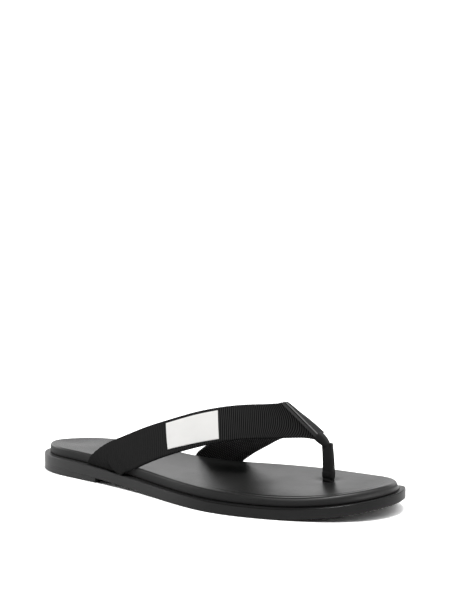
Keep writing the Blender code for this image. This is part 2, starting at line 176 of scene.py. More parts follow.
# The binding down the ridge: half widths to both sides, and the inner edge's rise.
Station = namedtuple("Station", "x z outer inner raised")
BINDING_RUN = (
    Station(199.6, 62.5, 2.0, 2.7, 0.0),
    Station(204.0, 58.7, 2.0, 2.8, 0.7),
    Station(209.0, 54.4, 2.0, 3.0, 1.2),
    Station(214.0, 50.1, 2.1, 3.4, 2.0),
    Station(219.0, 45.7, 2.1, 3.9, 2.5),
    Station(224.2, 41.2, 2.1, 4.1, 2.8),
    Station(224.6, 40.9, 2.1, 3.9, 2.6),
)
# The top of its cross-section: place across in half widths, and height.
Leaf = namedtuple("Leaf", "across height")
BINDING_TOP = (
    Leaf(-1.06, 0.1), Leaf(-1.06, 0.7), Leaf(-1.0, 1.2), Leaf(-0.88, 1.5), Leaf(-0.6, 1.65),
    Leaf(-0.3, 1.55), Leaf(-0.1, 1.15), Leaf(0.1, 0.85), Leaf(0.4, 0.85), Leaf(0.65, 1.0),
    Leaf(0.8, 1.1), Leaf(0.95, 1.1), Leaf(1.03, 0.8), Leaf(1.03, 0.2),
)
# The binding's end, which bends down into the toe post's sleeve: half width, and how
# far it reaches over and under its middle line.
Tail = namedtuple("Tail", "x z half over under")
TAIL = (
    Tail(223.5, 41.8, 2.8, 3.4, 3.0), Tail(225.5, 40.2, 2.9, 3.9, 3.1),
    Tail(228.0, 38.3, 2.8, 3.4, 2.8), Tail(229.7, 36.3, 2.5, 2.7, 2.4),
    Tail(230.4, 34.0, 1.8, 2.1, 2.0), Tail(230.6, 31.5, 1.6, 2.1, 2.1),
)

POST_X = 231.8
POST_Y = 22.3
# The sleeve round the toe post: height, half length, half width and lean to the heel.
Post = namedtuple("Post", "z length width lean")
POST = (
    Post(9.8, 3.15, 2.4, 0.4), Post(11.2, 3.7, 2.6, 0.2), Post(14.8, 4.1, 2.8, 0.0),
    Post(17.9, 4.2, 2.8, 0.0), Post(19.2, 4.1, 2.7, -0.1), Post(20.6, 3.95, 2.55, 0.0),
    Post(23.5, 3.9, 2.45, 0.1), Post(27.2, 3.85, 2.4, 0.3), Post(30.9, 3.75, 2.3, 0.6),
    Post(34.5, 3.7, 2.3, 1.0), Post(37.2, 3.65, 2.3, 1.25),
)
SLEEVE_WALL = 0.8
SLEEVE_INSIDE = 3.0       # how far the sleeve's inside is shown
# Creases round the sleeve: height, depth and half width.
Crease = namedtuple("Crease", "z depth half")
SLEEVE_CREASES = (Crease(13.9, 0.35, 0.9), Crease(11.6, 0.2, 0.6), Crease(18.8, 0.12, 0.5))


# --------------------------------------------------------------------- the shapes
def spline(knots, values, at):
    """Natural cubic spline, carried on in a straight line past its ends."""
    knots = np.asarray(knots, float)
    values = np.asarray(values, float)
    flat = values.ndim == 1
    if flat:
        values = values[:, None]
    at = np.atleast_1d(np.asarray(at, float))
    step = np.diff(knots)
    slope = np.diff(values, axis=0) / step[:, None]
    count = len(knots)
    matrix = np.eye(count)
    right = np.zeros_like(values)
    for i in range(1, count - 1):
        matrix[i, i - 1:i + 2] = (step[i - 1], 2 * (step[i - 1] + step[i]), step[i])
        right[i] = 6 * (slope[i] - slope[i - 1])
    bend = np.linalg.solve(matrix, right)
    inside = np.clip(at, knots[0], knots[-1])
    i = np.clip(np.searchsorted(knots, inside) - 1, 0, count - 2)
    left, rest = (inside - knots[i])[:, None], (knots[i + 1] - inside)[:, None]
    h = step[i][:, None]
    out = (bend[i] * rest ** 3 + bend[i + 1] * left ** 3) / (6 * h) \
        + (values[i] / h - bend[i] * h / 6) * rest \
        + (values[i + 1] / h - bend[i + 1] * h / 6) * left
    first = slope[0] - bend[1] * step[0] / 6
    final = slope[-1] + bend[-2] * step[-1] / 6
    past = (at - inside)[:, None]
    out = out + np.where(past < 0, past * first, past * final)
    return out[:, 0] if flat else out


def closed_outline(samples=3200):
    points = [(0.0, 0.0)]
    points += [(row.x, row.lateral) for row in OUTLINE]
    points += [(LENGTH, TOE_TIP_Y)]
    points += [(row.x, row.medial) for row in reversed(OUTLINE)]
    loop = np.array(points * 3 + points[:1])
    chord = np.hypot(*np.diff(loop, axis=0).T)
    knots = np.concatenate(([0.0], np.cumsum(np.sqrt(chord))))
    first, last = knots[len(points)], knots[2 * len(points)]
    return spline(knots, loop, np.linspace(first, last, samples, endpoint=False))


OUTLINE_CURVE = closed_outline()
MIDDLE = (OUTLINE_CURVE.min(axis=0) + OUTLINE_CURVE.max(axis=0)) / 2


def metres(points):
    """Millimetres from the heel to the row frame."""
    points = np.asarray(points, float)
    return (points - np.array([MIDDLE[0], MIDDLE[1], 0.0])) / 1000


def ring(inset):
    """The outline moved inwards: heel, lateral side, toe, medial side; point i faces -i."""
    along = np.roll(OUTLINE_CURVE, -1, axis=0) - np.roll(OUTLINE_CURVE, 1, axis=0)
    along /= np.hypot(along[:, 0], along[:, 1])[:, None]
    curve = OUTLINE_CURVE + inset * np.stack((-along[:, 1], along[:, 0]), axis=1)
    heel, toe = curve[:, 0].argmin(), curve[:, 0].argmax()
    curve, toe = np.roll(curve, -heel, axis=0), (toe - heel) % len(curve)
    lateral = curve[:toe + 1]
    medial = np.vstack((curve[toe:], curve[:1]))[::-1]
    share = 0.5 - 0.5 * np.cos(np.pi * np.arange(STATIONS + 1) / STATIONS)
    x = lateral[0, 0] + (lateral[-1, 0] - lateral[0, 0]) * share
    out = np.stack((x, np.interp(x, *lateral.T)), axis=1)
    back = x[-2:0:-1]
    return np.vstack((out, np.stack((back, np.interp(back, *medial.T)), axis=1)))


def middle_of(points):
    """For each ring point, the place on the sole's middle line that it closes towards."""
    count = len(points)
    facing = points[(-np.arange(count)) % count]
    target = np.stack((points[:, 0], (points[:, 1] + facing[:, 1]) / 2), axis=1)
    low, high = points[0, 0] + END_X, points[count // 2, 0] - END_X
    half = count // 2
    lateral = points[:half + 1]
    medial = np.vstack((points[:1], points[:half - 1:-1]))
    for edge, beyond in ((low, points[:, 0] < low), (high, points[:, 0] > high)):
        y = (np.interp(edge, *lateral.T) + np.interp(edge, *medial.T)) / 2
        target[beyond] = (edge, y)
    return target


def smooth(share):
    share = np.clip(share, 0.0, 1.0)
    return share * share * (3 - 2 * share)


def underside(x):
    back = smooth((SHANK_FRONT - x) / (SHANK_FRONT - SHANK_BACK))
    front = np.maximum((x - SPRING_START) / (LENGTH - SPRING_START), 0.0)
    return HEEL_RISE * back + TOE_SPRING * front ** SPRING_POWER


def outsole_top(x):
    thinning = np.clip((x - THINNING_START) / (LENGTH - THINNING_START), 0.0, 1.0)
    return underside(x) + OUTSOLE_HEEL + (OUTSOLE_TOE - OUTSOLE_HEEL) * thinning


def rim_height(x, y):
    table = spline([row.x for row in RIM], [row[1:] for row in RIM], x)
    side = np.clip((y / SOLE_HALF_WIDTH + 1) / 2, 0.0, 1.0)
    return table[:, 0] + (table[:, 1] - table[:, 0]) * side


def dish(x):
    """How deep the footbed's middle lies under its rim."""
    along = smooth((x - DISH_BACK) / (DISH_FRONT - DISH_BACK))
    return HEEL_DISH + (TOE_DISH - HEEL_DISH) * along


def strap_surface(rows, place, share):
    """Points and outward normals of a strap's outer face."""
    knots = np.arange(len(rows))
    table = [(*row.rear, *row.front, row.crown) for row in rows]
    read = spline(knots, table, place)
    ahead = spline(knots, table, place + NUDGE) - spline(knots, table, place - NUDGE)
    s = np.asarray(share)[:, None]
    rear, front = read[:, :3], read[:, 3:6]
    along = ahead[:, :3] + (ahead[:, 3:6] - ahead[:, :3]) * s
    outward = np.cross(front - rear, along)
    outward /= np.linalg.norm(outward, axis=1)[:, None]
    if rows is MEDIAL:
        outward = -outward
    crown = read[:, 6:7] * 4 * s * (1 - s)
    return rear + (front - rear) * s + outward * crown, outward


def strap_grid(rows, place, share):
    """The same for a grid of places and shares."""
    points, outward = strap_surface(rows, place.ravel(), share.ravel())
    return points.reshape(*place.shape, 3), outward.reshape(*place.shape, 3)


# --------------------------------------------------------------------- mesh tools
def link(name, data):
    """A new object in the scene."""
    thing = bpy.data.objects.new(name, data)
    bpy.context.scene.collection.objects.link(thing)
    return thing


def make(name, points, faces, shader, uv=None):
    """One piece from points in millimetres, riding on the CAD body."""
    mesh = bpy.data.meshes.new(name)
    mesh.from_pydata(metres(points).tolist(), [], faces)
    mesh.validate()
    if uv is not None:
        layer = mesh.uv_layers.new(name="UVMap")
        loops = np.zeros(len(mesh.loops), np.int32)
        mesh.loops.foreach_get("vertex_index", loops)
        layer.data.foreach_set("uv", np.asarray(uv, np.float32)[loops].ravel())
    mesh.shade_smooth()
    mesh.materials.append(shader)
    piece = link(name, mesh)
    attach(piece, "root")
    return piece


def flipped(faces):
    return [face[::-1] for face in faces]


def tube_faces(count, around, start=0):
    """Quads between count rings of around points."""
    i = np.arange(count - 1)[:, None]
    j = np.arange(around)[None, :]
    a = start + i * around + j
    b = start + i * around + (j + 1) % around
    return np.stack((a, b, b + around, a + around), axis=-1).reshape(-1, 4).tolist()


def closed_tube(count, around, start=0):
    """The same, with one face over each end."""
    first = tuple(range(start, start + around))
    final = tuple(i + (count - 1) * around for i in first)
    return tube_faces(count, around, start) + [first[::-1], final]


def sole_cap(first, around):
    """Faces straight across a ring. It starts in a point, and with an even count of
    points it ends in one too."""
    half = around // 2
    faces = [(first, first + 1, first + around - 1)]
    for i in range(1, (around - 1) // 2):
        faces.append((first + i, first + i + 1, first + around - i - 1, first + around - i))
    if around % 2 == 0:
        faces.append((first + half - 1, first + half, first + half + 1))
    return faces


def sole_piece(name, rings, shader):
    """A closed piece from rings that run from its underside up to its upper face."""
    around = len(rings[0])
    points = np.vstack(rings)
    faces = tube_faces(len(rings), around)
    faces += flipped(sole_cap(0, around))
    faces += sole_cap((len(rings) - 1) * around, around)
    return make(name, points, faces, shader, points[:, :2] / UV_UNIT)


def with_height(points, height):
    return np.column_stack((points, height))


def arc(inset, height, radius, start, end, steps):
    """Points of a rounded corner as (inset, height), angles in degrees."""
    out = []
    for angle in np.radians(np.linspace(start, end, steps)):
        out.append((inset + radius * math.cos(angle), height + radius * math.sin(angle)))
    return out


def squared(angle, power):
    """Points of a unit circle, pulled out towards a square."""
    c, s = np.cos(angle), np.sin(angle)
    return np.sign(c) * np.abs(c) ** power, np.sign(s) * np.abs(s) ** power


# ---------------------------------------------------------------------- materials
PATCHES = 28.0            # texture scales of the leather, for one metre
PORES = 1500.0
GRAIN = 2600.0
YARN_PITCH = 0.55         # millimetres along a rib of the webbing
LABEL_DARK = (0.68, 0.675, 0.66, 1.0)
LABEL_LIGHT = (0.72, 0.715, 0.70, 1.0)


class Nodes:
    """A short way to write a node tree."""

    def __init__(self, tree):
        self.tree = tree

    def add(self, kind, **values):
        """A new node, its inputs and its settings given by name."""
        node = self.tree.nodes.new(kind)
        for key, value in values.items():
            if key in node.inputs:
                self.put(node.inputs[key], value)
            else:
                setattr(node, key, value)
        return node

    def put(self, socket, value):
        if isinstance(value, bpy.types.NodeSocket):
            self.tree.links.new(value, socket)
        else:
            socket.default_value = value

    def math(self, operation, a, b=0.0):
        node = self.add("ShaderNodeMath", operation=operation)
        self.put(node.inputs[0], a)
        self.put(node.inputs[1], b)
        return node.outputs[0]

    def times(self, a, b):
        return self.math("MULTIPLY", a, b)

    def ramp(self, value, low, high, to_low=0.0, to_high=1.0, kind="LINEAR"):
        node = self.add("ShaderNodeMapRange", clamp=True, interpolation_type=kind)
        for i, v in enumerate((value, low, high, to_low, to_high)):
            self.put(node.inputs[i], v)
        return node.outputs[0]

    def camera_ray(self):
        """1 for what the camera sees itself, 0 for what lights the shoe."""
        return self.add("ShaderNodeLightPath").outputs["Is Camera Ray"]


class Shader(Nodes):
    """The node tree of a new material, which ends in its Principled shader."""

    def __init__(self, name):
        self.material = bpy.data.materials.new(name)
        self.material.use_nodes = True
        super().__init__(self.material.node_tree)
        self.shader = self.tree.nodes["Principled BSDF"]

    def set(self, name, value):
        self.put(self.shader.inputs[name], value)

    def mix(self, share, first, second):
        """A colour between two others. Sockets 6, 7 and 2 are the node's colour ones."""
        node = self.add("ShaderNodeMix", data_type="RGBA")
        self.put(node.inputs[0], share)
        self.put(node.inputs[6], first)
        self.put(node.inputs[7], second)
        return node.outputs[2]

    def noise(self, where, scale, detail=4.0):
        node = self.add("ShaderNodeTexNoise", Vector=where, Scale=scale, Detail=detail)
        node.inputs["Roughness"].default_value = 0.55
        return node.outputs["Fac"]

    def bump(self, height, strength, distance, under=None):
        node = self.add("ShaderNodeBump", Strength=strength, Distance=distance, Height=height)
        if under is not None:
            self.put(node.inputs["Normal"], under)
        return node.outputs["Normal"]

    def place(self):
        return self.add("ShaderNodeTexCoord").outputs["Object"]

    def level(self):
        """1 where the surface faces straight up, 0 where it stands upright."""
        normal = self.add("ShaderNodeTexCoord").outputs["Normal"]
        return self.add("ShaderNodeSeparateXYZ", Vector=normal).outputs["Z"]

    def uv(self):
        layer = self.add("ShaderNodeUVMap", uv_map="UVMap").outputs["UV"]
        split = self.add("ShaderNodeSeparateXYZ", Vector=layer)
        return split.outputs["X"], split.outputs["Y"]


def grey(value):
    return (value, value, value, 1.0)


def leather_material(name, tone, roughness, specular, grain=1.0, side_roughness=None,
                     flat_roughness=None):
    """Grained leather. Faces that stand upright may be duller than the level ones. A strip
    whose UV x is the place across it may have a dull flat between its edges, and painted
    light in its colour: painted highlights on a bead of its outer side and on its inner
    edge, and painted shade, much darker, everywhere else."""
    n = Shader(name)
    where = n.place()
    patches = n.noise(where, PATCHES, 3.0)
    colour = n.mix(n.ramp(patches, 0.35, 0.65), grey(tone * 0.85), grey(tone * 1.15))
    rough = n.ramp(patches, 0.3, 0.7, roughness - 0.04, roughness + 0.05)
    if side_roughness is not None:
        upright = n.ramp(n.level(), 0.25, 0.7, side_roughness, roughness)
        rough = n.math("MAXIMUM", rough, upright)
    if flat_roughness is not None:
        across = n.uv()[0]
        flat = n.times(n.ramp(across, -0.35, -0.2), n.ramp(across, 0.95, 0.85))
        rough = n.math("MAXIMUM", rough, n.times(flat, flat_roughness))
        # painted highlights: the outer side's bead and the inner edge are coloured far lighter,
        # and the rest far darker as painted shade
        bead = n.times(n.ramp(across, -1.02, -0.88), n.ramp(across, -0.25, -0.4))
        painted_highlight = n.math("ADD", bead, n.ramp(across, 0.85, 0.97, 0.0, 0.4))
        colour = n.mix(painted_highlight, grey(tone * 0.15), grey(tone * 11))
    n.set("Base Color", colour)
    n.set("Roughness", rough)
    cells = n.add("ShaderNodeTexVoronoi", Vector=where, Scale=PORES, feature="DISTANCE_TO_EDGE")
    pores = n.bump(n.ramp(cells.outputs["Distance"], 0.0, 0.25), 0.18 * grain, 0.00012)
    n.set("Normal", n.bump(n.noise(where, GRAIN, 3.0), 0.10 * grain, 0.0001, pores))
    n.set("IOR", 1.45)
    n.set("Specular IOR Level", specular)
    return n.material


def rubber_material():
    """Matt rubber, painted paler towards the heel as painted light, with a smoother upper edge
    at the forefoot.
    """
    n = Shader("sole_rubber")
    where = n.place()
    patches = n.noise(where, 40.0)
    along = n.add("ShaderNodeSeparateXYZ", Vector=where).outputs["X"]
    tone = n.mix(n.ramp(patches, 0.35, 0.65), grey(0.008), grey(0.011))
    # painted light: the base colour turns paler towards the heel
    n.set("Base Color", n.mix(n.ramp(along, 0.02, -0.11), tone, grey(0.034)))
    level = n.level()
    edge = n.times(n.ramp(level, 0.12, 0.3), n.ramp(level, 0.97, 0.9))
    edge = n.times(edge, n.ramp(along, 0.03, 0.06, 0.0, 0.2))
    n.set("Roughness", n.math("SUBTRACT", n.ramp(patches, 0.3, 0.7, 0.34, 0.42), edge))
    n.set("Normal", n.bump(n.noise(where, 3200.0, 2.0), 0.10, 0.00010))
    n.set("Specular IOR Level", 0.2)
    n.set("IOR", 1.5)
    return n.material


def webbing_material():
    """Ribs run across the strap: UV x counts them, UV y is millimetres along a rib."""
    n = Shader("ribbed_webbing")
    count, along = n.uv()
    # painted highlight on the rib crests and painted shade in the furrows, stronger where the
    # ribs show more
    crest = n.math("SINE", n.times(n.math("FRACT", count), math.pi))
    crest = n.ramp(crest, 0.45, 1.0)
    relief = n.ramp(count, PLAIN_COUNT, RIBBED_COUNT)
    painted_furrow_shade = n.mix(relief, grey(0.017), grey(0.004))
    outer = n.mix(crest, painted_furrow_shade, n.mix(relief, grey(0.018), grey(0.036)))
    # painted light on a strap's inner face: coloured far lighter than the outer face, lightest
    # on dots along its rib crests
    every_other = n.times(n.math("MODULO", n.math("FLOOR", count), 2.0), 0.5)
    turns = n.math("ADD", n.math("DIVIDE", along, DOT_PITCH), every_other)
    dots = n.math("SINE", n.times(turns, 2 * math.pi))
    dots = n.times(crest, n.ramp(dots, -0.3, 0.8))
    inner = n.mix(dots, grey(0.03), grey(0.24))
    inside = n.math("GREATER_THAN", count, INSIDE_COUNT / 2)
    n.set("Base Color", n.mix(inside, outer, inner))
    n.set("Roughness", 0.65)
    yarn = n.math("SINE", n.times(along, 2 * math.pi / YARN_PITCH))
    n.set("Normal", n.bump(yarn, 0.25, 0.00008))
    n.set("Specular IOR Level", 0.0)
    n.set("IOR", 1.45)
    return n.material


def label_material():
    """Off-white cloth with a fine weave."""
    n = Shader("label_cloth")
    where = n.place()
    patches = n.ramp(n.noise(where, 60.0), 0.3, 0.7)
    n.set("Base Color", n.mix(patches, LABEL_DARK, LABEL_LIGHT))
    n.set("Roughness", 0.65)
    weave = n.add("ShaderNodeTexWave", Vector=where, Scale=900.0, bands_direction="Z")
    n.set("Normal", n.bump(weave.outputs["Fac"], 0.06, 0.00004))
    return n.material


RUBBER = rubber_material()
FOOTBED_LEATHER = leather_material(
    "footbed_leather", tone=0.012, roughness=0.30, specular=0.36, side_roughness=0.62)
BINDING_LEATHER = leather_material(
    "binding_leather", tone=0.009, roughness=0.26, specular=0.55, grain=1.2, flat_roughness=0.7)
SLEEVE_LEATHER = leather_material("sleeve_leather", tone=0.02, roughness=0.62, specular=0.08)
WEBBING = webbing_material()
LABEL = label_material()


# ------------------------------------------------------------ outsole and heel lift
EDGE_ROUND = 0.8          # radius of the rubber's rounded edges
SEAM_ROUND = 0.25         # the outsole's lower edge is this much tighter over the lift
SEAM_FADE = 4.0           # and has its full rounding again this far past the breast
TIP_LIFT = 0.9            # the edge lies this much higher on the inner side of the tip
TIP_LIFT_BELOW = 0.6      # share of that at the underside
TIP_LIFT_FROM, TIP_LIFT_RUN = 260.0, 20.0
TIP_LIFT_OUT, TIP_LIFT_ACROSS = 4.0, 14.0     # from this far to the outer side of the tip
LIFT_STEPS = 60           # steps along each side of the heel lift
LIFT_CORNER = 0.95        # its lower edge is rounded about a line this far in


def tip_lift(p):
    """How much higher the sole's edge lies on the inner side of the tip."""
    along = smooth((p[:, 0] - TIP_LIFT_FROM) / TIP_LIFT_RUN)
    across = smooth((p[:, 1] - TOE_TIP_Y + TIP_LIFT_OUT) / TIP_LIFT_ACROSS)
    return TIP_LIFT * along * across


def build_outsole():
    rings = []
    base = ring(EDGE_ROUND)
    target = middle_of(base)
    for share in (0.75, 0.5, 0.25, 0.1):
        p = base + (target - base) * share
        rings.append(with_height(p, underside(p[:, 0])))
    lower_edge = arc(EDGE_ROUND, EDGE_ROUND, EDGE_ROUND, -90, -180, 6)
    for inset, height in ((3.0, 0.0), (1.4, 0.0), *lower_edge):
        p, tight = ring(inset), ring(inset * SEAM_ROUND)
        over_lift = smooth((HEEL_BREAST + SEAM_FADE - p[:, 0]) / SEAM_FADE)
        p += (tight - p) * over_lift[:, None]
        height = height * (1 - (1 - SEAM_ROUND) * over_lift) + tip_lift(p) * TIP_LIFT_BELOW
        rings.append(with_height(p, underside(p[:, 0]) + height))
    for share in (0.35, 0.65):
        p = ring(0.0)
        thick = outsole_top(p[:, 0]) - underside(p[:, 0])
        lift = tip_lift(p) * (TIP_LIFT_BELOW + (1 - TIP_LIFT_BELOW) * share)
        rings.append(with_height(p, underside(p[:, 0]) + thick * share + lift))
    for inset, height in arc(EDGE_ROUND, -EDGE_ROUND, EDGE_ROUND, 180, 90, 9):
        p = ring(inset)
        rings.append(with_height(p, outsole_top(p[:, 0]) + height + tip_lift(p)))
    for inset, lifted in ((1.2, 1), (2.5, 1), (4.5, 0.8), (7.0, 0)):
        p = ring(inset)
        rings.append(with_height(p, outsole_top(p[:, 0]) + tip_lift(p) * lifted))
    p = base + (target - base) * 0.6
    rings.append(with_height(p, outsole_top(p[:, 0])))
    piece = sole_piece("outsole_rubber", rings, RUBBER)
    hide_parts("outsole")


def outline_to_breast(inset):
    """The outline round the heel, cut square at the breast."""
    full = ring(inset)
    half = len(full) // 2
    turn = np.linspace(0.0, 1.0, LIFT_STEPS + 1)
    x = full[0, 0] + (HEEL_BREAST - full[0, 0]) * (1 - np.cos(turn * math.pi / 2))
    inner = np.vstack((full[:1], full[:half - 1:-1]))
    lateral = np.stack((x, np.interp(x, *full[:half + 1].T)), axis=1)
    medial = np.stack((x, np.interp(x, *inner.T)), axis=1)
    return np.vstack((lateral, medial[:0:-1]))


def build_heel_lift():
    rings = []
    for inset, height in ((3.0, 0.0), *arc(LIFT_CORNER, EDGE_ROUND, EDGE_ROUND, -90, -180, 5)):
        p = outline_to_breast(inset)
        rings.append(with_height(p, np.full(len(p), height)))
    for inset, drop in ((0.15, 0.3), (0.16, 0.07), (0.3, 0.03), (6.0, 0.05)):
        p = outline_to_breast(inset)
        rings.append(with_height(p, underside(p[:, 0]) - drop))
    piece = sole_piece("heel_lift_rubber", rings, RUBBER)
    piece.data.set_sharp_from_angle(angle=math.radians(40))
    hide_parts("heel_lift")


# --------------------------------------------------------------------- the footbed
GROOVE_IN = 4.8           # the pressed line lies this far in from the footbed's rim
GROOVE_HALF, GROOVE_SHARP = 1.0, 1.8
GROOVE_DEPTH = 0.8
GROOVE_SIDE = 25.0        # it fades out towards the inner side of the foot
GROOVE_START, GROOVE_FULL = 178.0, 212.0
GROOVE_END = 20.0         # and fades out over this far before the tip
SOFTER = 0.6              # the forefoot's rim is rounded this much more than the heel's
SOFTER_FROM, SOFTER_RUN = 200.0, 50.0
SHOULDER = 1.8            # width of the rim's rounded shoulder
ROUNDING_POWER = 1.5
TIP_FROM, TIP_RUN = 258.0, 26.0       # the footbed's side slopes round the tip
TIP_SLOPE, TIP_FOOT = 0.7, -0.8       # this much further in at the top and at the foot
RIM_RINGS = (0.6, 1.3, 2.0, 2.7, 3.3, 3.7, 4.0, 4.3, 4.6, 4.9, 5.2, 5.6, 6.1, 6.8, 7.8, 9.2)
ACROSS_BED = 40           # steps across the footbed inside those rings
SEAT_REACH = (24.0, 42.0)     # the footbed sinks over this distance, heel and ball
SEAT_FROM, SEAT_TO = 60.0, 185.0
POST_DIP = 1.4            # the padding is drawn down round the toe post
POST_DIP_LENGTH, POST_DIP_WIDTH = 6.5, 5.5


def from_rim(points, rim):
    """Distance of each point to the rim's curve."""
    start, step = rim, np.roll(rim, -1, axis=0) - rim
    size = (step ** 2).sum(axis=1)
    away = points[:, None, :] - start[None]
    share = np.clip((away * step[None]).sum(axis=2) / size, 0.0, 1.0)
    near = away - step[None] * share[:, :, None]
    return np.sqrt((near ** 2).sum(axis=2).min(axis=1))


def softer(x):
    """How far the place is into the softer part of the rim, from 0 to 1."""
    return smooth((x - SOFTER_FROM) / SOFTER_RUN)


def sloped_ring(inset, more):
    """A ring that lies further in on the softer rim and round the tip of the toe."""
    p = ring(inset)
    inner = inset + min(max(inset - BED_SHOULDER, 0.0), SHOULDER) * SOFTER
    p = p + (ring(inner) - p) * softer(p[:, 0])[:, None]
    return p + (ring(inner + more) - p) * smooth((p[:, 0] - TIP_FROM) / TIP_RUN)[:, None]


def rounded_off(p, inset):
    """How much lower the forefoot's rim is for its roundings."""
    x, inward = p[:, 0], inset - BED_WALL
    total = 0.0
    for row in ROUNDINGS:
        along = smooth((x - row.start) / row.fade) * smooth((row.end - x) / row.fade)
        across = np.clip(1 - inward / row.width, 0, 1) ** ROUNDING_POWER
        total = total + row.depth * along * across
    return total


def footbed_top(p, rim):
    """Heights of the footbed's upper face."""
    x, y = p[:, 0], p[:, 1]
    inward = from_rim(p, rim)
    share = np.clip(inward / np.interp(x, (SEAT_FROM, SEAT_TO), SEAT_REACH), 0.0, 1.0)
    height = outsole_top(x) + rim_height(x, y)
    height -= dish(x) * (1 - (1 - share) ** 2)
    height -= rounded_off(p, inward + FOOTBED_SIDE[-1].inset)
    fade = smooth((x - GROOVE_START) / (GROOVE_FULL - GROOVE_START))
    fade *= smooth((GROOVE_SIDE - y) / SOLE_HALF_WIDTH) * smooth((LENGTH - x) / GROOVE_END)
    groove = np.exp(-((inward - GROOVE_IN) / GROOVE_HALF) ** 2 * GROOVE_SHARP)
    height -= GROOVE_DEPTH * fade * groove
    away = np.hypot((x - POST_X) / POST_DIP_LENGTH, (y - POST_Y) / POST_DIP_WIDTH)
    height -= POST_DIP * np.exp(-away ** 2)
    return height


def inside_of(edge, first, rim):
    """Points and faces of the upper face inside its last ring, whose points are counted
    from first."""
    around, half = len(edge), len(edge) // 2
    share = np.linspace(0, 1, ACROSS_BED + 1)[1:-1, None]
    points, rows, count = [], [], first + around
    for i in range(1, half):
        line = edge[i, :2] + (edge[-i, :2] - edge[i, :2]) * share
        points.append(with_height(line, footbed_top(line, rim)))
        rows.append([first + i, *range(count, count + len(line)), first + around - i])
        count += len(line)
    faces = []
    for a, b in zip(rows, rows[1:]):
        faces += [(a[k], b[k], b[k + 1], a[k + 1]) for k in range(ACROSS_BED)]
    faces += [(first, rows[0][k], rows[0][k + 1]) for k in range(ACROSS_BED)]
    faces += [(first + half, rows[-1][k + 1], rows[-1][k]) for k in range(ACROSS_BED)]
    return np.vstack(points), faces


def build_footbed():
    rings = []
    for side in FOOTBED_SIDE:
        p = sloped_ring(side.inset, TIP_FOOT + (TIP_SLOPE - TIP_FOOT) * side.share)
        lift = side.lift
        if lift < 0:
            lift = lift * (1 + SOFTER * softer(p[:, 0]))
        high = side.share * rim_height(p[:, 0], p[:, 1]) + lift
        high -= side.share * rounded_off(p, side.inset)
        rings.append(with_height(p, outsole_top(p[:, 0]) + high))
    inset = FOOTBED_SIDE[-1].inset
    rim = sloped_ring(inset, TIP_SLOPE)
    for inward in RIM_RINGS:
        p = sloped_ring(inset + inward, TIP_SLOPE * (1 - inward / RIM_RINGS[-1]))
        rings.append(with_height(p, footbed_top(p, rim)))
    around = len(rings[0])
    faces = tube_faces(len(rings), around) + flipped(sole_cap(0, around))
    inside, inside_faces = inside_of(rings[-1], (len(rings) - 1) * around, rim)
    points = np.vstack((*rings, inside))
    piece = make("footbed_pad", points, faces + inside_faces,
                 FOOTBED_LEATHER, points[:, :2] / UV_UNIT)
    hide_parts("footbed")


# ----------------------------------------------------------------------- the straps
RIB_SAMPLES = 4000        # points at which the ribs' two ends are read
RIB_SMOOTHING = 80        # their run is evened out over this many to either side
CENTRE_SAMPLES = 600      # points along a strap's middle line
CENTRE_STEP = 20          # of which one in so many is a knot of its length
SEAM_THINNER = 0.5        # the webbing is this much thinner where the straps meet
SEAM_ROWS, SEAM_RUN = 1.6, 1.2        # rows before the ridge, and rows of the change
SHORTEST = 0.01           # a line shorter than this share of the width is left out
TINY = 1e-9
RIB_POWER = 0.6
EDGE_OUT, EDGE_RIB = 0.5, 1.3         # the woven edge stands out on a rib, less between
LABEL_STEPS, LABEL_ACROSS = 36, 24
LABEL_TOP, LABEL_UNDER = 0.65, 0.08   # over the strap's outer face


def rib_lines(rows, ribs):
    """For every line of the webbing's grid: rib count, rear place and front place."""
    rear = np.linspace(ribs[0].rear, ribs[-1].rear, RIB_SAMPLES)
    front = np.interp(rear, [r.rear for r in ribs], [r.front for r in ribs])
    before = 2 * front[0] - front[RIB_SMOOTHING:0:-1]
    after = 2 * front[-1] - front[-2:-RIB_SMOOTHING - 2:-1]
    kernel = np.ones(2 * RIB_SMOOTHING + 1) / (2 * RIB_SMOOTHING + 1)
    front = np.convolve(np.concatenate((before, front, after)), kernel, "valid")
    places = np.linspace(0, len(rows) - 1, CENTRE_SAMPLES)
    centre = strap_surface(rows, places, np.full(CENTRE_SAMPLES, 0.5))[0]
    steps = np.linalg.norm(np.diff(centre, axis=0), axis=1)
    run = np.concatenate(([0.0], np.cumsum(steps)))
    length = spline(places[::CENTRE_STEP], run[::CENTRE_STEP], (rear + front) / 2)
    first = math.ceil(length[0] / RIB_PITCH)
    final = math.floor(length[-1] / RIB_PITCH)
    count = np.arange(first * RIB_STEPS, final * RIB_STEPS + 1) / RIB_STEPS
    at = count * RIB_PITCH
    return count, np.interp(at, length, rear), np.interp(at, length, front)


def strap_wall(place, last):
    """Webbing thickness, thinner where the two straps are sewn together."""
    return STRAP_WALL - SEAM_THINNER * smooth((place - last + SEAM_ROWS) / SEAM_RUN)


def folded(place, share):
    """How far the outer strap stands out or is drawn in near its lower end."""
    rows = [row.row for row in FOLD]
    crease = np.interp(place, rows, [row.crease for row in FOLD])
    out = np.interp(place, rows, [row.out for row in FOLD])
    rise = smooth((share - crease) / FOLD_WIDTH + 0.5)
    tuck = TUCK * smooth((TUCK_END - place) / TUCK_END)
    return out * rise - tuck * (1 - rise)


def webbing_grid(rows, ribs):
    """Rib count of each line that lies on the strap, and the place and the share of the
    width of its points."""
    last = len(rows) - 1
    count, rear, front = rib_lines(rows, ribs)
    fall = np.maximum(rear - front, TINY)
    start = np.where(rear > last, (rear - last) / fall, 0.0)
    end = np.where(front < 0, rear / fall, 1.0)
    keep = (end - start > SHORTEST) & (rear > 0) & (front < last)
    count, rear, front, start, end = (v[keep] for v in (count, rear, front, start, end))
    share = start[:, None] + (end - start)[:, None] * np.linspace(0, 1, ACROSS_STEPS + 1)
    return count, rear[:, None] + (front - rear)[:, None] * share, share


